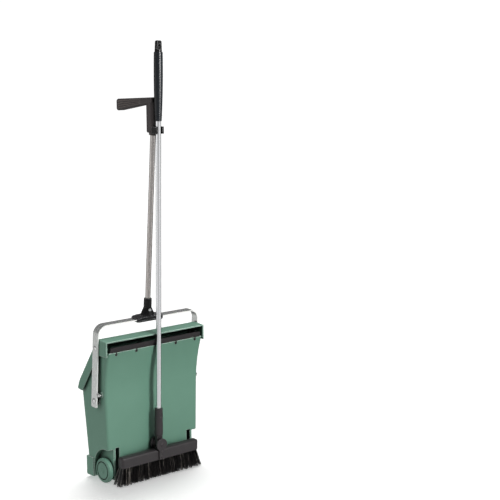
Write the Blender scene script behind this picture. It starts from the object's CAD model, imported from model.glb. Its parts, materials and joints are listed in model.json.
# %% [markdown]
# # An upright dustpan with its broom
# The real object is a lidded bin of moulded green plastic that rolls on two small wheels.
# A flat steel bail swings on rivets at its sides and carries a light metal pole with a side
# grip, and a swivel-head broom stands in a clip on that grip. The shapes come from CAD as a
# fixed frame, so this lesson gives each piece its finish, adds the details that are too fine for
# CAD, grows the bristles, and lights it all.

# %% Load the frame
import json
import math
import random

import bmesh
import bpy
from mathutils import Matrix, Vector
from mathutils.bvhtree import BVHTree


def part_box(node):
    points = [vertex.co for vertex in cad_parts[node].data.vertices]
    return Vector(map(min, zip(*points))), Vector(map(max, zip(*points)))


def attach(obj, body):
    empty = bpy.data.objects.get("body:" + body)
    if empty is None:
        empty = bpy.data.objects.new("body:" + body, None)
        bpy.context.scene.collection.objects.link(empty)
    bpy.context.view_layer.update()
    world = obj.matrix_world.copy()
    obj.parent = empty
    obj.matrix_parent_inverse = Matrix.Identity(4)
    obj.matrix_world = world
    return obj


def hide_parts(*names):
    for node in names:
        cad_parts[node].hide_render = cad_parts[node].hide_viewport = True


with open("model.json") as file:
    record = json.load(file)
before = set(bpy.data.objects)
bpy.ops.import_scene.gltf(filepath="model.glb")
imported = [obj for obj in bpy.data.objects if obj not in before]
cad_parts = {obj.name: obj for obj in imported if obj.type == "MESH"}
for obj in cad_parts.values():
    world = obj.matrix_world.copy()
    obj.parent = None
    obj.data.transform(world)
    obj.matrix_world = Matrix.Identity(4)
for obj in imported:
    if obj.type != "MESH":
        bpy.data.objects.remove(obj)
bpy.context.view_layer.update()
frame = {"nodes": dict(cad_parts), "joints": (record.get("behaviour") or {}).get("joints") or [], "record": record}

# %% [markdown]
# ## Small tools
# Sizes on the object are easiest to think of in millimetres, and colours as the hex values that
# a paint shop or a colour picker gives. Blender wants metres and linear light, so two short
# functions turn one into the other. A third adds a node, sets its values and links it in one go,
# which is shorter than clicking nodes together and can be read again. A fourth starts a material.

# %% Units, colours and nodes
MM = 0.001


def linear(hex_colour):
    """An sRGB hex value as a linear RGBA colour."""
    shares = [int(hex_colour[i:i + 2], 16) / 255 for i in (1, 3, 5)]
    return [s / 12.92 if s <= 0.04045 else ((s + 0.055) / 1.055) ** 2.4 for s in shares] + [1.0]


def per_metre(size_mm):
    """Texture scale whose features are about this many millimetres across."""
    return 1 / (size_mm * MM)


def add(tree, kind, settings=None, links=None):
    """Add one node, set its inputs or properties, and link its inputs."""
    node = tree.nodes.new(kind)
    for key, value in (settings or {}).items():
        if isinstance(key, int) or key in node.inputs:
            node.inputs[key].default_value = value
        else:
            setattr(node, key, value)
    for key, source in (links or {}).items():
        tree.links.new(source, node.inputs[key])
    return node


def new_material(name):
    """An empty material with its shader, its output and the object's own coordinates."""
    material = bpy.data.materials.new(name)
    material.use_nodes = True
    tree = material.node_tree
    tree.nodes.clear()
    shader = add(tree, "ShaderNodeBsdfPrincipled")
    add(tree, "ShaderNodeOutputMaterial", links={"Surface": shader.outputs["BSDF"]})
    place = add(tree, "ShaderNodeTexCoord").outputs["Object"]
    return material, tree, shader, place


print("helpers ready")

# %% [markdown]
# ## Moulded plastics
# Most of the object is injection-moulded polypropylene. Its colour is mixed into the plastic, so
# it hardly varies, but the flow of the melt leaves faint lighter clouds, corners that rub on walls
# and doors turn paler, and grime stays in the inner corners. Painted textures would show all this
# too, but the shader can find it on its own: noise makes the clouds, the shader's bevel finds the outer
# edges without changing the CAD shape, and ambient occlusion finds the inner ones. A second, wide
# occlusion darkens the inside of the bin and the hood, which hardly any light reaches in the
# photograph.

# %% Colour of a used plastic
# Of each pair, the first value is where an effect begins and the second where it is full
PROBE_SAMPLES = 6
CLOUD_DETAIL = 5.0
RUB_BEND = (0.995, 0.9)
GRIME_REACH_MM = 9.0
GRIME_OPEN = (0.15, 0.75)
INSIDE_REACH_MM = 150.0
INSIDE_OPEN = (0.15, 0.45)
INSIDE_SHADE = "#0C120F"


def used_colour(tree, place, round_edge, tones, worn, grime, cloud_mm, wear):
    """Cloudy colour with paler rubbed edges, grimy corners and a dark inside."""
    cloud = add(tree, "ShaderNodeTexNoise", {"Scale": per_metre(cloud_mm), "Detail": CLOUD_DETAIL},
                {"Vector": place})
    body = add(tree, "ShaderNodeMix", {"data_type": "RGBA", 6: linear(tones[0]), 7: linear(tones[1])},
               {0: cloud.outputs["Fac"]})
    flat = add(tree, "ShaderNodeNewGeometry")
    bend = add(tree, "ShaderNodeVectorMath", {"operation": "DOT_PRODUCT"},
               {0: round_edge.outputs["Normal"], 1: flat.outputs["Normal"]})
    open_air = add(tree, "ShaderNodeAmbientOcclusion",
                   {"samples": PROBE_SAMPLES, "Distance": GRIME_REACH_MM * MM})
    rub = add(tree, "ShaderNodeMapRange",
              {"From Min": RUB_BEND[0], "From Max": RUB_BEND[1], "To Min": 0.0, "To Max": wear},
              {"Value": bend.outputs["Value"]})
    exposed = add(tree, "ShaderNodeMath", {"operation": "MULTIPLY"},
                  {0: rub.outputs["Result"], 1: open_air.outputs["AO"]})
    rubbed = add(tree, "ShaderNodeMix", {"data_type": "RGBA", 7: linear(worn)},
                 {0: exposed.outputs["Value"], 6: body.outputs[2]})
    clean = add(tree, "ShaderNodeMapRange", {"From Min": GRIME_OPEN[0], "From Max": GRIME_OPEN[1]},
                {"Value": open_air.outputs["AO"]})
    grimy = add(tree, "ShaderNodeMix", {"data_type": "RGBA", 6: linear(grime)},
                {0: clean.outputs["Result"], 7: rubbed.outputs[2]})
    enclosed = add(tree, "ShaderNodeAmbientOcclusion",
                   {"samples": PROBE_SAMPLES, "Distance": INSIDE_REACH_MM * MM})
    outside = add(tree, "ShaderNodeMapRange", {"From Min": INSIDE_OPEN[0], "From Max": INSIDE_OPEN[1]},
                  {"Value": enclosed.outputs["AO"]})
    return add(tree, "ShaderNodeMix", {"data_type": "RGBA", 6: linear(INSIDE_SHADE)},
               {0: outside.outputs["Result"], 7: grimy.outputs[2]})


print("colour of used plastics ready")

# %% [markdown]
# ## The skin of a mould
# Moulds are spark-eroded, and the grain they leave breaks up the gloss of the plastic. One noise drives
# both the bump and the roughness, so that shiny and dull spots lie where the grain rises and falls.
# The real grain is finer than a pixel, so it is drawn coarser, at about one millimetre. Modelled
# grain would take millions of faces for something that is only seen as gloss.

# %% Recipe for moulded plastic
PLASTIC_IOR = 1.49
GRAIN_DETAIL = 2.0
GRAIN_STRENGTH = 0.6


def moulded_plastic(name, tones, worn, grime, cloud_mm, grain_mm, depth_mm, gloss, edge_mm, wear, shine=0.5):
    """Plastic from a textured mould. A shine of 0.5 is a clean surface, and less is a dusty one."""
    material, tree, shader, place = new_material(name)
    round_edge = add(tree, "ShaderNodeBevel", {"samples": PROBE_SAMPLES, "Radius": edge_mm * MM})
    colour = used_colour(tree, place, round_edge, tones, worn, grime, cloud_mm, wear)
    grain = add(tree, "ShaderNodeTexNoise", {"Scale": per_metre(grain_mm), "Detail": GRAIN_DETAIL},
                {"Vector": place})
    dull = add(tree, "ShaderNodeMapRange", {"To Min": gloss[0], "To Max": gloss[1]},
               {"Value": grain.outputs["Fac"]})
    bump = add(tree, "ShaderNodeBump", {"Strength": GRAIN_STRENGTH, "Distance": depth_mm * MM},
               {"Height": grain.outputs["Fac"], "Normal": round_edge.outputs["Normal"]})
    shader.inputs["IOR"].default_value = PLASTIC_IOR
    shader.inputs["Specular IOR Level"].default_value = shine
    tree.links.new(colour.outputs[2], shader.inputs["Base Color"])
    tree.links.new(dull.outputs["Result"], shader.inputs["Roughness"])
    tree.links.new(bump.outputs["Normal"], shader.inputs["Normal"])
    return material


print("moulded plastic recipe ready")

# %% [markdown]
# ## The colours of the plastics
# The bin, hood and wheels share one grey-green, a little darker on the wheels. The bracket, the clip
# and the broom's cap are black glass-filled nylon, which is harder and smoother, with edges that
# handling has worn to grey. The broom head is a warm dark grey, and the side grip is charcoal with
# ribs that hands have rubbed paler. Bin and hood are large, so their clouds are wide; the small
# parts get small ones.

# %% Mix the plastics
# Coloured-through polypropylene: an even satin green whose rubbed edges catch the eye as pale lines
green_polypropylene = moulded_plastic(
    "green_polypropylene_moulded", ("#648F7B", "#6D9884"), worn="#DDF0E6", grime="#2A3D35",
    cloud_mm=70, grain_mm=1.4, depth_mm=0.05, gloss=(0.4, 0.58), edge_mm=2.2, wear=0.9)
# The same plastic on wheels that roll through dirt: a shade darker, with less contrast at the edges
wheel_polypropylene = moulded_plastic(
    "green_polypropylene_wheel", ("#5C8572", "#689280"), worn="#8DB0A0", grime="#263A31",
    cloud_mm=18, grain_mm=1.2, depth_mm=0.06, gloss=(0.42, 0.6), edge_mm=0.9, wear=0.5)
# Glass-filled nylon: nearly black and smooth, with grey worn edges that outline its shape
black_nylon = moulded_plastic(
    "black_nylon_moulded", ("#070708", "#0E0E10"), worn="#8E8E90", grime="#040404",
    cloud_mm=12, grain_mm=0.9, depth_mm=0.05, gloss=(0.2, 0.34), edge_mm=1.8, wear=0.9, shine=0.25)
# Dark grey polypropylene: satin and warm, so it stands apart from the black bristles under it
head_polypropylene = moulded_plastic(
    "grey_polypropylene_broom_head", ("#231F21", "#2E292B"), worn="#7D7577", grime="#151213",
    cloud_mm=30, grain_mm=1.1, depth_mm=0.06, gloss=(0.36, 0.52), edge_mm=1.2, wear=0.5)
# Charcoal polypropylene with a fine grain: brownish and dull beside the glossy sleeve
grip_plastic = moulded_plastic(
    "charcoal_polypropylene_grip", ("#332C2A", "#40383A"), worn="#6E6664", grime="#120F0E",
    cloud_mm=16, grain_mm=0.8, depth_mm=0.06, gloss=(0.36, 0.52), edge_mm=1.2, wear=0.4)
# The same charcoal where hands rub it: paler and a little smoother
rubbed_grip_plastic = moulded_plastic(
    "charcoal_polypropylene_rubbed_ribs", ("#5E5450", "#6F6561"), worn="#8A807C", grime="#120F0E",
    cloud_mm=16, grain_mm=0.8, depth_mm=0.06, gloss=(0.3, 0.45), edge_mm=0.5, wear=0.5)
print("plastics:", green_polypropylene.name, wheel_polypropylene.name, black_nylon.name,
      head_polypropylene.name, grip_plastic.name, rubbed_grip_plastic.name)

# %% [markdown]
# ## The broom's sleeve
# The broom is held by a sleeve of soft vinyl, pulled on to the tube. Vinyl is smoother than plastic
# from an eroded mould, so it shows the lamp as one long pale streak. A clear coat over a dull black
# base would do this too, but lower roughness with a slow ripple is simpler, and it is enough.

# %% Glossy vinyl
# Soft vinyl: blue-black, with one narrow streak of light along its length
sleeve_vinyl = moulded_plastic(
    "black_vinyl_sleeve", ("#06090D", "#0D1319"), worn="#3B4650", grime="#07090B",
    cloud_mm=25, grain_mm=6.0, depth_mm=0.02, gloss=(0.22, 0.30), edge_mm=0.8, wear=0.3, shine=0.35)
print("sleeve:", sleeve_vinyl.name)

# %% [markdown]
# ## Drawn and extruded stock
# Strip, tube and rubber profile are all made by pulling or pushing material through a gap, which
# leaves fine lines along their length. One recipe of stretched noise makes them all, with occlusion
# for the dirt that collects against a neighbour. The lines on the real strip are finer than a pixel,
# so they are drawn coarser, at one to three millimetres. An anisotropic shader would smear the
# highlight in the same way, but it needs tangents that the CAD meshes don't carry.

# %% Recipe for drawn and extruded stock
STOCK_DIRT = "#33302D"
DIRT_REACH_MM = 5.0
DIRT_OPEN = (0.45, 0.85)
LINE_DETAIL = 3.0
LINE_STRENGTH = 0.5


def drawn_stock(name, tones, line_mm, stretch, roughness, depth_mm, edge_mm, metallic=1.0):
    """Bar, tube or strip with fine lines along its length and softly broken edges."""
    material, tree, shader, place = new_material(name)
    along = add(tree, "ShaderNodeMapping", {"Scale": [1 / s for s in stretch]}, {"Vector": place})
    lines = add(tree, "ShaderNodeTexNoise", {"Scale": per_metre(line_mm), "Detail": LINE_DETAIL},
                {"Vector": along.outputs["Vector"]})
    tint = add(tree, "ShaderNodeMix", {"data_type": "RGBA", 6: linear(tones[0]), 7: linear(tones[1])},
               {0: lines.outputs["Fac"]})
    open_air = add(tree, "ShaderNodeAmbientOcclusion",
                   {"samples": PROBE_SAMPLES, "Distance": DIRT_REACH_MM * MM})
    clean = add(tree, "ShaderNodeMapRange", {"From Min": DIRT_OPEN[0], "From Max": DIRT_OPEN[1]},
                {"Value": open_air.outputs["AO"]})
    colour = add(tree, "ShaderNodeMix", {"data_type": "RGBA", 6: linear(STOCK_DIRT)},
                 {0: clean.outputs["Result"], 7: tint.outputs[2]})
    dull = add(tree, "ShaderNodeMapRange", {"To Min": roughness[0], "To Max": roughness[1]},
               {"Value": lines.outputs["Fac"]})
    round_edge = add(tree, "ShaderNodeBevel", {"samples": PROBE_SAMPLES, "Radius": edge_mm * MM})
    bump = add(tree, "ShaderNodeBump", {"Strength": LINE_STRENGTH, "Distance": depth_mm * MM},
               {"Height": lines.outputs["Fac"], "Normal": round_edge.outputs["Normal"]})
    shader.inputs["Metallic"].default_value = metallic
    tree.links.new(colour.outputs[2], shader.inputs["Base Color"])
    tree.links.new(dull.outputs["Result"], shader.inputs["Roughness"])
    tree.links.new(bump.outputs["Normal"], shader.inputs["Normal"])
    return material, shader


print("drawn stock recipe ready")

# %% [markdown]
# ## Metals and rubber
# The bail is bent from bright cold-rolled strip, so its lines run along it. The broom's tube is
# aluminium, drawn through a die and anodised, which leaves a silky gloss. The pole is satin stainless
# steel, which is darker and warmer. Rivets and screws are zinc-plated and tumbled, which leaves them
# mottled, and the cross bolt is chromed and brighter. The rubber of the lip is extruded, and pale
# dust stays in its lines.

# %% Draw the metals and the rubber
RUBBER_IOR = 1.52

# Cold-rolled steel: pale and silky, with lines that lead the eye round the bail
bright_strip, strip_shader = drawn_stock(
    "bright_steel_rolled_strip", ("#C2C5C3", "#DDDFDD"), line_mm=1.0, stretch=(16, 1, 16),
    roughness=(0.2, 0.32), depth_mm=0.008, edge_mm=0.5)
# Anodised aluminium: pale and cool, with soft upright bands of light and dark
drawn_tube, _ = drawn_stock(
    "aluminium_drawn_tube", ("#D6D7D9", "#EBECEE"), line_mm=1.2, stretch=(1, 1, 60),
    roughness=(0.16, 0.26), depth_mm=0.015, edge_mm=0.3)
# Satin stainless steel: greyer and warmer, so the pole falls behind the broom's tube
satin_tube, _ = drawn_stock(
    "stainless_steel_satin_tube", ("#989390", "#C6C1BE"), line_mm=1.5, stretch=(1, 1, 80),
    roughness=(0.22, 0.32), depth_mm=0.02, edge_mm=0.3)
# Zinc plating: patches of brighter and duller gloss on small heads
plated_steel, _ = drawn_stock(
    "steel_zinc_plated", ("#B4B5B6", "#E4E4E2"), line_mm=2.0, stretch=(1, 1, 1),
    roughness=(0.16, 0.34), depth_mm=0.03, edge_mm=0.4)
# Chrome plating: nearly white, a bright dot on the black bracket
chromed_steel, _ = drawn_stock(
    "steel_chrome_plated", ("#EEF0F1", "#FBFBFA"), line_mm=2.0, stretch=(1, 1, 1),
    roughness=(0.3, 0.45), depth_mm=0.02, edge_mm=0.5)
# Extruded rubber: dull black with dusty lines along the lip
dusty_rubber, rubber_shader = drawn_stock(
    "black_rubber_extruded", ("#161315", "#2A2527"), line_mm=2.5, stretch=(14, 1, 1),
    roughness=(0.6, 0.8), depth_mm=0.05, edge_mm=0.6, metallic=0.0)
rubber_shader.inputs["IOR"].default_value = RUBBER_IOR
print("stock:", bright_strip.name, drawn_tube.name, satin_tube.name, plated_steel.name,
      chromed_steel.name, dusty_rubber.name)

# %% [markdown]
# ## The bail's slit edges
# Strip is slit from a wide coil, so its two narrow edges are torn and stay matt and pale, while the
# faces are rolled bright. The front edge catches the front lamp as a pale line along the bail. A second
# material would mean changing the CAD mesh, so the object's own normal tells the edges apart: they
# are the only faces that look to the front or to the back.

# %% Pale the slit edges
SLIT_COLOUR = "#F4F4F2"
SLIT_ROUGHNESS = 0.6
SLIT_FACING = (0.75, 0.95)

tree = bright_strip.node_tree
normal = add(tree, "ShaderNodeTexCoord").outputs["Normal"]
sideways = add(tree, "ShaderNodeSeparateXYZ", links={"Vector": normal})
facing = add(tree, "ShaderNodeMath", {"operation": "ABSOLUTE"}, {0: sideways.outputs["Y"]})
slit = add(tree, "ShaderNodeMapRange", {"From Min": SLIT_FACING[0], "From Max": SLIT_FACING[1]},
           {"Value": facing.outputs["Value"]})
rolled_colour = strip_shader.inputs["Base Color"].links[0].from_socket
rolled_gloss = strip_shader.inputs["Roughness"].links[0].from_socket
pale = add(tree, "ShaderNodeMix", {"data_type": "RGBA", 7: linear(SLIT_COLOUR)},
           {0: slit.outputs["Result"], 6: rolled_colour})
matt = add(tree, "ShaderNodeMix", {"data_type": "FLOAT", 3: SLIT_ROUGHNESS},
           {0: slit.outputs["Result"], 2: rolled_gloss})
tree.links.new(pale.outputs[2], strip_shader.inputs["Base Color"])
tree.links.new(matt.outputs[0], strip_shader.inputs["Roughness"])
print("slit edges paled on", bright_strip.name)

# %% [markdown]
# ## Dress the CAD pieces
# A CAD piece whose shape is right stays as it is and only takes a finish. The record says which
# material slot each piece belongs to, so one table from slot to finish dresses them all. Three pieces
# differ from the others in their slot and have finishes of their own.

# %% Finishes by slot
FINISH = {
    "green_plastic": green_polypropylene,
    "wheel_plastic": wheel_polypropylene,
    "black_rubber": dusty_rubber,
    "bright_steel": bright_strip,
    "rivet_steel": plated_steel,
    "pole_metal": drawn_tube,
    "black_plastic": black_nylon,
    "grip_plastic": grip_plastic,
    "sleeve_plastic": sleeve_vinyl,
    "head_plastic": head_polypropylene,
}
OWN_FINISH = {"pole_tube": satin_tube, "cross_bolt": chromed_steel, "hang_cap": black_nylon}

slot_of = {part["node"]: part["material_slot"] for part in frame["record"]["subparts"]}
dressed = [node for node in frame["nodes"] if slot_of[node] in FINISH]
for node in dressed:
    frame["nodes"][node].data.materials.clear()
    frame["nodes"][node].data.materials.append(OWN_FINISH.get(node, FINISH[slot_of[node]]))
print("dressed", len(dressed), "CAD pieces")

# %% [markdown]
# ## Pieces laid on a CAD surface
# Ribs and rings must sit exactly on the CAD shape they belong to. A ray shot at the CAD mesh gives
# the height of its surface at any spot, so nothing has to be measured by hand. A new mesh becomes
# an object in one short function, which also tells the frame which body it moves with.

# %% Probe a surface and keep a mesh
def surface_of(node):
    """A CAD node's mesh, ready to be hit by rays in the frame's own axes."""
    piece = frame["nodes"][node]
    corners = [piece.matrix_world @ v.co for v in piece.data.vertices]
    return BVHTree.FromPolygons(corners, [p.vertices[:] for p in piece.data.polygons])


def keep(name, bm, materials, body):
    """Turn a finished bmesh into an object that rides a body."""
    bmesh.ops.recalc_face_normals(bm, faces=bm.faces)
    mesh = bpy.data.meshes.new(name)
    bm.to_mesh(mesh)
    bm.free()
    piece = bpy.data.objects.new(name, mesh)
    bpy.context.collection.objects.link(piece)
    for material in materials:
        mesh.materials.append(material)
    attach(piece, body)
    return piece


def close_loops(bm, loops):
    """Skin a row of equal loops of vertices and close both ends."""
    count = len(loops[0])
    for first, second in zip(loops, loops[1:]):
        for i in range(count):
            j = (i + 1) % count
            bm.faces.new((first[i], first[j], second[j], second[i]))
    bm.faces.new(loops[0][::-1])
    bm.faces.new(loops[-1])


print("surface tools ready")

# %% [markdown]
# ## Ribs of the side grip
# The flaring end of the grip carries shallow ribs that fan out along both sides and keep a wet hand
# from slipping. Hands have rubbed them paler than the grip. In the mould they are grooves milled along
# the length. Here each rib is a half-round bar skinned along the side, sunk a little so that no gap
# shows, and run out to nothing at its ends. A bump map would be quicker, but it would show no ribs
# where the grip is seen edge on.

# %% Lay the ribs
RIB_COUNT = 4
RIB_STEPS = 14
RIB_HEIGHT_MM = 1.1
RIB_SINK_MM = 0.3
RIB_SHARE = 0.28
RIB_START = 0.30
RIB_END = 0.95
RIB_RUN_OUT = 0.4
RIB_ARC = [math.radians(a) for a in (0, 30, 60, 90, 120, 150, 180)]
GRIP_CORNER_MM = 3.0
RAY_AWAY = 1.0

grip_surface = surface_of("handle_grip")
grip_low, grip_high = (Vector(c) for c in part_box("handle_grip"))
grip_length = grip_high.y - grip_low.y
ribs = bmesh.new()
for side in (-1, 1):
    for rib in range(RIB_COUNT):
        loops = []
        for step in range(RIB_STEPS + 1):
            share = step / RIB_STEPS
            y = grip_low.y + grip_length * (RIB_START + (RIB_END - RIB_START) * share)
            top = grip_surface.ray_cast(Vector((0, y, grip_high.z + RAY_AWAY)), Vector((0, 0, -1)))[0].z
            foot = grip_surface.ray_cast(Vector((0, y, grip_low.z - RAY_AWAY)), Vector((0, 0, 1)))[0].z
            room = top - foot - 2 * GRIP_CORNER_MM * MM
            z = foot + GRIP_CORNER_MM * MM + room * (rib + 0.5) / RIB_COUNT
            half = room / RIB_COUNT * RIB_SHARE
            x = grip_surface.ray_cast(Vector((side * RAY_AWAY, y, z)), Vector((-side, 0, 0)))[0].x
            proud = RIB_HEIGHT_MM * MM * math.sin(math.pi * share) ** RIB_RUN_OUT
            sunk = x - side * RIB_SINK_MM * MM
            bulge = side * (proud + RIB_SINK_MM * MM)
            loops.append([ribs.verts.new((sunk + bulge * math.sin(a), y, z + half * math.cos(a)))
                          for a in RIB_ARC])
        close_loops(ribs, loops)
grip_ribs = keep("grip_ribs", ribs, [rubbed_grip_plastic], "bail")
print("ribs on the grip:", 2 * RIB_COUNT, "faces:", len(grip_ribs.data.polygons))

# %% [markdown]
# ## Rings of the broom's sleeve
# Both ends of the vinyl sleeve are thickened with moulded rings, so the hand feels where it ends. A
# ring is a round section swept about the broom's own axis, which is the line through the head swivel
# at right angles to its pin. The sleeve swells along its length, so every ring probes its own radius.
# Ready-made torus meshes would need turning into place one by one.

# %% Turn the rings
RING_UP_MM = (806.5, 811.0, 815.5, 940.0, 945.0, 950.0, 955.0, 961.5)
RING_THICK_MM = 1.5
RING_PROUD_MM = 0.45
RING_SIDES = 8
RING_STEPS = 40

swivel = next(j for j in frame["joints"] if j["name"] == "head_swivel")
head_out = Vector(swivel["axis"]).normalized()
head_across = Vector((1, 0, 0))
head_up = head_across.cross(head_out)
swivel_place = Vector(swivel["pos_m"])


def head_point(x, y, z):
    """A point of the broom's own axes, counted from the swivel, in the frame."""
    return swivel_place + head_across * x + head_out * y + head_up * z


sleeve_surface = surface_of("broom_grip")
half_thick = RING_THICK_MM / 2 * MM
rings = bmesh.new()
for rise in RING_UP_MM:
    middle = head_point(0, 0, rise * MM)
    radius = (sleeve_surface.ray_cast(middle - head_across, head_across)[0] - middle).length
    radius += RING_PROUD_MM * MM - half_thick
    circle = []
    for step in range(RING_STEPS):
        turn = 2 * math.pi * step / RING_STEPS
        away = head_across * math.cos(turn) + head_out * math.sin(turn)
        circle.append([])
        for corner in range(RING_SIDES):
            roll = 2 * math.pi * corner / RING_SIDES
            spot = away * (radius + half_thick * math.cos(roll)) + head_up * (half_thick * math.sin(roll))
            circle[-1].append(rings.verts.new(middle + spot))
    for first, second in zip(circle, circle[1:] + circle[:1]):
        for i in range(RING_SIDES):
            j = (i + 1) % RING_SIDES
            rings.faces.new((first[i], first[j], second[j], second[i]))
sleeve_rings = keep("sleeve_rings", rings, [sleeve_vinyl], "broom")
print("rings on the sleeve:", len(RING_UP_MM), "faces:", len(sleeve_rings.data.polygons))

# %% [markdown]
# ## One fibre
# A lobby broom's fibres are drawn plastic, cut to length. A particle system would grow them quickly,
# but its hairs aren't a mesh and wouldn't export, so each fibre is built as a thin three-sided taper
# with a slight bow. They are drawn a little thicker than real ones, because fewer then fill the head.

# %% Shape one fibre
FIBRE_THICK_MM = 0.75
FIBRE_TIP_SHARE = 0.6
FIBRE_STEPS = 5
FIBRE_SIDES = 3


def grow_fibre(bm, root, tip, bow, shade):
    """Add one bowed, tapering, three-sided fibre to a mesh."""
    turns = [2 * math.pi * corner / FIBRE_SIDES for corner in range(FIBRE_SIDES)]
    around = [head_across * math.cos(t) + head_out * math.sin(t) for t in turns]
    loops = []
    for step in range(FIBRE_STEPS + 1):
        share = step / FIBRE_STEPS
        middle = root.lerp(tip, share) + bow * math.sin(math.pi * share)
        radius = FIBRE_THICK_MM * MM / 2 * (1 - (1 - FIBRE_TIP_SHARE) * share)
        loops.append([bm.verts.new(middle + away * radius) for away in around])
    before = len(bm.faces)
    close_loops(bm, loops)
    bm.faces.ensure_lookup_table()
    for index in range(before, len(bm.faces)):
        bm.faces[index].material_index = shade


print("fibre shape ready")

# %% [markdown]
# ## Tufts of bristle
# The head is tufted: bundles of fibre are stapled into a strip, and they spread out as they leave it.
# The tufts spread to the ends and sides in the same way as the CAD strands, and lean and end unevenly,
# as worn ones do. Some fibres have gone grey. They are picked from one narrow wedge of each tuft,
# because worn fibres stick together, and they show as light streaks.

# %% Grow the tufts
TUFT_COLUMNS = 28
TUFT_ROWS = 5
FIBRES_PER_TUFT = 36
FIBRE_BOW_MM = 0.8
GREY_CLUMP = math.radians(22)
GREY_SHARE = 0.65
BLOCK_HALF_DEPTH_MM = 11.0
STRIP_TOP_MM = -36.5
STRIP_THICK_MM = 2.5
STRIP_MARGIN_MM = 2.5
ROOT_INSET_MM = 3.5
TUFT_ROOT_MM = 2.0
TUFT_TIP_MM = 4.2
TUFT_LEAN_MM = 1.6
SPLAY_END_MM = 11.0
SPLAY_SIDE_MM = 5.5
FLOOR_GAP_MM = 0.4
TIP_UNEVEN_MM = 1.4
TUFT_UNEVEN_MM = 0.9
TUFT_SEED = 7

random.seed(TUFT_SEED)
block_low, block_high = (Vector(c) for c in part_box("head_block"))
half_length = (block_high.x - block_low.x) / 2 - STRIP_MARGIN_MM * MM
half_depth = (BLOCK_HALF_DEPTH_MM - STRIP_MARGIN_MM / 2) * MM
root_z = (STRIP_TOP_MM - STRIP_THICK_MM / 2) * MM
bristles = bmesh.new()
for column in range(TUFT_COLUMNS):
    u = 2 * column / (TUFT_COLUMNS - 1) - 1
    for row in range(TUFT_ROWS):
        v = 2 * row / (TUFT_ROWS - 1) - 1
        across = u * (half_length - ROOT_INSET_MM * MM)
        out = v * (half_depth - ROOT_INSET_MM * MM)
        lean_x = random.gauss(0, TUFT_LEAN_MM) + SPLAY_END_MM * u * abs(u)
        lean_y = random.gauss(0, TUFT_LEAN_MM / 2) + SPLAY_SIDE_MM * v
        short = abs(random.gauss(0, TUFT_UNEVEN_MM))
        grey_turn = random.uniform(0, 2 * math.pi)
        for _ in range(FIBRES_PER_TUFT):
            turn = random.uniform(0, 2 * math.pi)
            reach = math.sqrt(random.random())
            dx = reach * math.cos(turn) * MM
            dy = reach * math.sin(turn) * MM
            root = head_point(across + dx * TUFT_ROOT_MM, out + dy * TUFT_ROOT_MM, root_z)
            tip_x = across + dx * TUFT_TIP_MM + lean_x * MM
            tip_y = out + dy * TUFT_TIP_MM + lean_y * MM
            gap = FLOOR_GAP_MM + short + abs(random.gauss(0, TIP_UNEVEN_MM))
            drop = (swivel_place.z + head_out.z * tip_y - gap * MM) / head_up.z
            bow_x = random.gauss(0, FIBRE_BOW_MM)
            bow_y = random.gauss(0, FIBRE_BOW_MM)
            bow = (head_across * bow_x + head_out * bow_y) * MM
            clumped = math.cos(turn - grey_turn) > math.cos(GREY_CLUMP)
            grey = 1 if clumped and random.random() < GREY_SHARE else 0
            grow_fibre(bristles, root, head_point(tip_x, tip_y, -drop), bow, grey)
print("fibres grown:", TUFT_COLUMNS * TUFT_ROWS * FIBRES_PER_TUFT)

# %% [markdown]
# ## Finish of the fibres
# Drawn plastic fibre is shiny along its length, and its colour varies from one bundle to the next.
# A colour could be stored with the corners of each fibre, but a noise that is stretched along the
# fibres varies the tone with no extra data.

# %% Dye the fibres
STREAK_MM = 2.5
STREAK_STRETCH = 25
STREAK_SPAN = (0.35, 0.75)


def fibre_plastic(name, tones, gloss):
    """Drawn fibre whose tone changes from bundle to bundle."""
    material, tree, shader, place = new_material(name)
    along = add(tree, "ShaderNodeMapping", {"Scale": (1.0, 1.0, 1 / STREAK_STRETCH)}, {"Vector": place})
    streak = add(tree, "ShaderNodeTexNoise", {"Scale": per_metre(STREAK_MM), "Detail": LINE_DETAIL},
                 {"Vector": along.outputs["Vector"]})
    sharp = add(tree, "ShaderNodeMapRange", {"From Min": STREAK_SPAN[0], "From Max": STREAK_SPAN[1]},
                {"Value": streak.outputs["Fac"]})
    shade = add(tree, "ShaderNodeMix", {"data_type": "RGBA", 6: linear(tones[0]), 7: linear(tones[1])},
                {0: sharp.outputs["Result"]})
    tree.links.new(shade.outputs[2], shader.inputs["Base Color"])
    shader.inputs["Roughness"].default_value = gloss
    shader.inputs["IOR"].default_value = PLASTIC_IOR
    return material


# Black drawn polypropylene: dark, with a thin sheen on each fibre
black_fibre = fibre_plastic("black_polypropylene_fibre", ("#0B0B0C", "#302D2E"), gloss=0.38)
# The same fibre bleached by wear: light streaks among the dark ones
grey_fibre = fibre_plastic("grey_polypropylene_fibre", ("#6E6964", "#CFC9C0"), gloss=0.45)
print("fibres dyed:", black_fibre.name, grey_fibre.name)

# %% [markdown]
# ## Tufting strip
# The strip that holds the tufts closes the underside of the head. It is a flat bar with round
# corners, so it is drawn as an outline of corner arcs and given its thickness. A bevelled box would
# look the same, but it would have to be turned to the broom's lean afterwards.

# %% Add the strip
CORNER_STEPS = 6
CORNER_MM = 4.5

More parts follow.
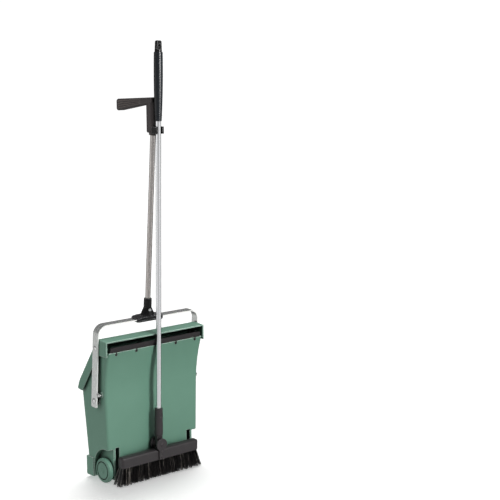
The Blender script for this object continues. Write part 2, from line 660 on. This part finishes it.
outline = []
for sign_x, sign_y, start in ((1, 1, 0), (-1, 1, 90), (-1, -1, 180), (1, -1, 270)):
    for step in range(CORNER_STEPS + 1):
        angle = math.radians(start + 90 * step / CORNER_STEPS)
        outline.append((sign_x * (half_length - CORNER_MM * MM) + CORNER_MM * MM * math.cos(angle),
                        sign_y * (half_depth - CORNER_MM * MM) + CORNER_MM * MM * math.sin(angle)))
strip = [[bristles.verts.new(head_point(x, y, z * MM)) for x, y in outline]
         for z in (STRIP_TOP_MM - STRIP_THICK_MM, STRIP_TOP_MM)]
close_loops(bristles, strip)
bristle_tufts = keep("bristle_tufts", bristles, [black_fibre, grey_fibre], "broom_head")
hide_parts("bristles")
print("bristle faces:", len(bristle_tufts.data.polygons))

# %% [markdown]
# ## Paper and light wall
# The picture has a plain white setting. Its floor is a wide pale sheet that takes the soft shadows. It
# glows a little, so that it stays white, and the wall round it glows so that the background stays
# white from every side. A white sky would do for the wall, but it would light the object as well. The
# felt marks of real paper are finer than a pixel, so they are drawn three millimetres wide.

# %% Finish the floor and the wall
FLOOR_GLOW = 0.40
WALL_GLOW = 1.05
PAPER_ROUGHNESS = 0.9
NAP_MM = 3.0
NAP_DEPTH_MM = 0.1
NAP_STRENGTH = 0.05


def glowing(name, glow):
    """A finish that only gives off light."""
    material = bpy.data.materials.new(name)
    material.use_nodes = True
    tree = material.node_tree
    tree.nodes.clear()
    light = add(tree, "ShaderNodeEmission", {"Strength": glow})
    add(tree, "ShaderNodeOutputMaterial", links={"Surface": light.outputs["Emission"]})
    return material, tree, light


# Uncoated paper: matt and even, so only shadows show on it
paper, tree, shader, place = new_material("white_paper_floor")
shader.inputs["Base Color"].default_value = linear("#F7F7F6")
shader.inputs["Roughness"].default_value = PAPER_ROUGHNESS
shader.inputs["Emission Color"].default_value = linear("#FFFFFF")
shader.inputs["Emission Strength"].default_value = FLOOR_GLOW
nap = add(tree, "ShaderNodeTexNoise", {"Scale": per_metre(NAP_MM)}, {"Vector": place})
felt = add(tree, "ShaderNodeBump", {"Strength": NAP_STRENGTH, "Distance": NAP_DEPTH_MM * MM},
           {"Height": nap.outputs["Fac"]})
tree.links.new(felt.outputs["Normal"], shader.inputs["Normal"])
# Backlit white sheet: plain white from every side
wall_glow, _, _ = glowing("white_wall_glow", WALL_GLOW)
print("stage finishes:", paper.name, wall_glow.name)

# %% [markdown]
# ## Floor and backdrop
# Floor and wall are seen by the camera alone. If the metal mirrored them, the tubes would lose their
# dark edges, and their light would fill the shadow that the broom throws on the panel. Real paper can't
# be hidden from the metal, but here one setting for each piece does it.

# %% Build the stage
FLOOR_HALF = 9.0
WALL_SHARE = 0.95
WALL_HEIGHT = 7.0
DRUM_SIDES = 64


def drum(radius, low, high):
    """Corners and side faces of a drum around the set."""
    turns = [2 * math.pi * i / DRUM_SIDES for i in range(DRUM_SIDES)]
    points = [(radius * math.cos(t), radius * math.sin(t), z) for z in (low, high) for t in turns]
    ahead = [(i + 1) % DRUM_SIDES for i in range(DRUM_SIDES)]
    return points, [(i, j, j + DRUM_SIDES, i + DRUM_SIDES) for i, j in enumerate(ahead)]


def stage_piece(name, points, faces, finish, camera, glossy):
    """A piece of the set that adds no soft light and no shadow."""
    mesh = bpy.data.meshes.new(name)
    mesh.from_pydata(points, [], faces)
    mesh.materials.append(finish)
    piece = bpy.data.objects.new(name, mesh)
    bpy.context.collection.objects.link(piece)
    piece.visible_camera = camera
    piece.visible_glossy = glossy
    piece.visible_diffuse = False
    piece.visible_shadow = False
    return piece


floor_points = [(sx * FLOOR_HALF, sy * FLOOR_HALF, 0) for sx, sy in ((-1, -1), (1, -1), (1, 1), (-1, 1))]
wall_points, wall_faces = drum(FLOOR_HALF * WALL_SHARE, 0, WALL_HEIGHT)
floor = stage_piece("studio_floor", floor_points, [(0, 1, 2, 3)], paper, camera=True, glossy=False)
wall = stage_piece("studio_wall", wall_points, wall_faces, wall_glow, camera=True, glossy=False)
print("stage:", floor.name, wall.name)

# %% [markdown]
# ## Flags
# In a studio, flags keep a lamp off what it shouldn't light. Light linking does that here. The softbox
# leaves out the tubes and rivets, which would show it as a hot spot, the floor has lamps of its own for
# its soft shadow, and the broom's sleeve has one for its streak. Real flags in the scene would show up
# in the metal.

# %% Say what each lamp may light
UNLIT_SLOTS = ("rivet_steel", "pole_metal")


def lit(name, pieces):
    """A group of pieces that a lamp may light."""
    group = bpy.data.collections.new(name)
    for piece in pieces:
        group.objects.link(piece)
    return group


added = [grip_ribs, sleeve_rings, bristle_tufts]
softbox_pieces = [piece for node, piece in frame["nodes"].items() if slot_of[node] not in UNLIT_SLOTS]
softbox_reach = lit("softbox_reach", softbox_pieces + added)
object_reach = lit("object_reach", list(frame["nodes"].values()) + added)
floor_reach = lit("floor_reach", [floor])
sleeve_reach = lit("sleeve_reach", [frame["nodes"]["broom_grip"], sleeve_rings])

# %% [markdown]
# ## Near lamps
# The shadow of the tube on the panel is dark and narrow and lies close behind it, so the main lamp is
# a small softbox in front, high up and a little to the right. White paper on the floor also throws
# light up at the side wall. The floor here gives no light to the object, so a wide faint lamp that lies
# at the left does it.

# %% Softbox and bounce
BOX_PLACE = Vector((0.24, -1.65, 1.2))
BOX_AIM = Vector((0.0, 0.0, 0.25))
BOX_WIDTH = 0.38
BOX_HEIGHT = 0.5
BOX_POWER = 30.0
BOUNCE_PLACE = Vector((-1.35, 0.25, 0.002))
BOUNCE_SIZE = 2.6
BOUNCE_POWER = 6.8

box = bpy.data.objects.new("front_softbox", bpy.data.lights.new("front_softbox", "AREA"))
box.data.shape = "RECTANGLE"
box.data.size = BOX_WIDTH
box.data.size_y = BOX_HEIGHT
box.data.energy = BOX_POWER
box.location = BOX_PLACE
box.rotation_euler = (BOX_PLACE - BOX_AIM).to_track_quat("Z", "Y").to_euler()
box.light_linking.receiver_collection = softbox_reach
bounce = bpy.data.objects.new("floor_bounce", bpy.data.lights.new("floor_bounce", "AREA"))
bounce.data.size = BOUNCE_SIZE
bounce.data.energy = BOUNCE_POWER
bounce.location = BOUNCE_PLACE
bounce.rotation_euler.x = math.pi
bounce.visible_camera = False
bounce.visible_glossy = False
for lamp in (box, bounce):
    bpy.context.collection.objects.link(lamp)
print("near lamps:", box.name, bounce.name)

# %% [markdown]
# ## Far lamps
# The side wall asks for a softer lamp at the left, the pale top of the hood for a wide one overhead,
# and the back, which the photograph doesn't show, gets a weak one. The floor's two lamps make its soft
# shadow, and a lamp level with the sleeve draws its upright streak. All are suns, because a sun
# lights everything evenly where a near lamp would fade. The disc is how wide the lamp looks, in degrees.

# %% Suns
OBJECT_SUNS = {
    "left_lamp": {"from": (-0.85, 0.30, 0.45), "power": 0.62, "disc": 40},
    "top_lamp": {"from": (-0.10, 0.10, 1.0), "power": 1.6, "disc": 100},
    "back_lamp": {"from": (0.55, 0.75, 0.30), "power": 0.8, "disc": 40},
}
FLOOR_SUNS = {
    "shadow_lamp": {"from": (0.24, 0.28, 0.93), "power": 1.75, "disc": 28},
    "contact_lamp": {"from": (0.0, 0.0, 1.0), "power": 0.7, "disc": 150},
}
SLEEVE_SUNS = {
    "streak_lamp": {"from": (0.24, -0.97, -0.04), "power": 2.3, "disc": 14},
}

for group, suns in ((object_reach, OBJECT_SUNS), (floor_reach, FLOOR_SUNS), (sleeve_reach, SLEEVE_SUNS)):
    for name, lamp in suns.items():
        sun = bpy.data.objects.new(name, bpy.data.lights.new(name, "SUN"))
        sun.data.energy = lamp["power"]
        sun.data.angle = math.radians(lamp["disc"])
        sun.rotation_euler = Vector(lamp["from"]).to_track_quat("Z", "Y").to_euler()
        sun.light_linking.receiver_collection = group
        bpy.context.collection.objects.link(sun)
print("suns:", *OBJECT_SUNS, *FLOOR_SUNS, *SLEEVE_SUNS)

# %% [markdown]
# ## What the metal mirrors
# Metal and gloss show their surroundings rather than their colour. Seen from a little above, an upright
# tube mirrors a low band just under the horizon. In the photograph that band is pale at the front and
# left, has a bright upright window on either side, and is dark behind to the right. Photographers build
# such a band from cards. Here one glow is worked out from the direction of the look: it gets brighter
# towards the floor, where white paper lies, and is dim above.

# %% Paint the reflection cards
UPWARD = Vector((0.0, 0.0, 1.0))
DARK_SIDE = Vector((0.77, 0.64, 0.0))
DARK_EDGE = (0.6, 0.15)
CARD_DARK = 0.1
CARD_PALE = 0.58
RIGHT_WINDOW = Vector((0.57, -0.82, 0.0))
RIGHT_GLOW = 1.0
LEFT_WINDOW = Vector((-0.93, 0.37, 0.0))
LEFT_GLOW = 0.85
WINDOW_EDGE = (0.92, 0.975)
CARD_FADE = (0.16, 0.02)
CARD_NEAR = (-0.21, -0.29)
CARD_LIFT = 1.3
CARD_TOP = 0.27
# Each step joins one amount to the glow. It eases between two values as the look turns to a direction
CARD_STEPS = (
    ("ADD", DARK_SIDE, DARK_EDGE, CARD_DARK, CARD_PALE),
    ("ADD", RIGHT_WINDOW, WINDOW_EDGE, 0.0, RIGHT_GLOW),
    ("ADD", LEFT_WINDOW, WINDOW_EDGE, 0.0, LEFT_GLOW),
    ("MULTIPLY", UPWARD, CARD_FADE, 0.0, 1.0),
    ("MULTIPLY", UPWARD, CARD_NEAR, 1.0, CARD_LIFT),
    ("ADD", UPWARD, CARD_FADE, CARD_TOP, 0.0),
)

# Lit white card: seen only in metal and gloss, where it draws pale and dark bands
card_finish, tree, card_light = glowing("reflection_card", 1.0)
place = add(tree, "ShaderNodeTexCoord").outputs["Object"]
look = add(tree, "ShaderNodeVectorMath", {"operation": "NORMALIZE"}, {0: place}).outputs["Vector"]
gleam = None
for operation, direction, edge, low, high in CARD_STEPS:
    turned = add(tree, "ShaderNodeVectorMath", {"operation": "DOT_PRODUCT", 1: direction}, {0: look})
    limits = {"From Min": edge[0], "From Max": edge[1], "To Min": low, "To Max": high}
    amount = add(tree, "ShaderNodeMapRange", {"interpolation_type": "SMOOTHSTEP", **limits},
                 {"Value": turned.outputs["Value"]})
    step = add(tree, "ShaderNodeMath", {"operation": operation, 0: 0.0}, {1: amount.outputs["Result"]})
    if gleam is not None:
        tree.links.new(gleam, step.inputs[0])
    gleam = step.outputs["Value"]
tree.links.new(gleam, card_light.inputs["Strength"])
print("steps of the card's glow:", len(CARD_STEPS))

# %% [markdown]
# ## Drum of cards
# The cards stand as one closed drum that only reflections can see, so they change no shadow. Single
# cards would leave gaps that show as dark lines in the tubes.

# %% Raise the cards
CARD_RADIUS = 6.0
CARD_MIDDLE = 0.45
CARD_LOW = -4.0
CARD_HIGH = 1.6

card_points, card_faces = drum(CARD_RADIUS, CARD_LOW, CARD_HIGH)
card_ends = [range(DRUM_SIDES), range(DRUM_SIDES, 2 * DRUM_SIDES)]
cards = stage_piece("studio_card", card_points, card_faces + card_ends, card_finish,
                    camera=False, glossy=True)
cards.location.z = CARD_MIDDLE
print("cards:", cards.name, "faces:", len(cards.data.polygons))

# %% [markdown]
# ## Fill light
# A studio is never quite dark, so a dim even sky keeps the shadows open. More lamps could do that,
# but each would bring a shadow of its own.

# %% Dim sky
SKY_DIM = 0.05

world = bpy.data.worlds.new("soft_studio")
bpy.context.scene.world = world
world.use_nodes = True
world.node_tree.nodes.clear()
sky = add(world.node_tree, "ShaderNodeBackground", {"Strength": SKY_DIM})
add(world.node_tree, "ShaderNodeOutputWorld", links={"Surface": sky.outputs["Background"]})
bpy.context.scene.view_settings.view_transform = "Standard"
print("sky strength", SKY_DIM)

# %% [markdown]
# ## Camera
# The viewing angle was worked out from the photograph by fitting the known shapes to it. The camera
# stands in front and to the left, nearly as high as the broom's top, and looks slightly down with a
# long lens. Its place is built from turn, tilt and roll, because those are what the fit gives.

# %% Place the camera
VIEW_TURN = math.radians(40.79)
VIEW_TILT = math.radians(9.20)
VIEW_ROLL = math.radians(-0.36)
VIEW_DISTANCE = 3.03819
AIM_HEIGHT = 0.56981
AIM_ASIDE = 0.24485
PIVOT_BEHIND_PANEL_MM = 32.5
SENSOR_MM = 36.0
IMAGE_PIXELS = 500
FOCAL_PIXELS = 1242.15

bail_pivot = next(j for j in frame["joints"] if j["name"] == "bail_fold")
panel_y = bail_pivot["pos_m"][1] - PIVOT_BEHIND_PANEL_MM * MM
ahead = Vector((math.sin(VIEW_TURN) * math.cos(VIEW_TILT), math.cos(VIEW_TURN) * math.cos(VIEW_TILT),
                -math.sin(VIEW_TILT)))
level = Vector((math.cos(VIEW_TURN), -math.sin(VIEW_TURN), 0))
above = level.cross(ahead)
right = level * math.cos(VIEW_ROLL) + above * math.sin(VIEW_ROLL)
up = above * math.cos(VIEW_ROLL) - level * math.sin(VIEW_ROLL)
aim = Vector((0, panel_y, AIM_HEIGHT)) + right * AIM_ASIDE
stand = aim - ahead * VIEW_DISTANCE
camera = bpy.data.objects.new("camera", bpy.data.cameras.new("camera"))
camera.data.sensor_fit = "HORIZONTAL"
camera.data.sensor_width = SENSOR_MM
camera.data.lens = SENSOR_MM * FOCAL_PIXELS / IMAGE_PIXELS
camera.matrix_world = Matrix((
    (right.x, up.x, -ahead.x, stand.x),
    (right.y, up.y, -ahead.y, stand.y),
    (right.z, up.z, -ahead.z, stand.z),
    (0, 0, 0, 1)))
bpy.context.collection.objects.link(camera)
bpy.context.scene.camera = camera
print("camera stands at", tuple(round(v, 3) for v in stand))
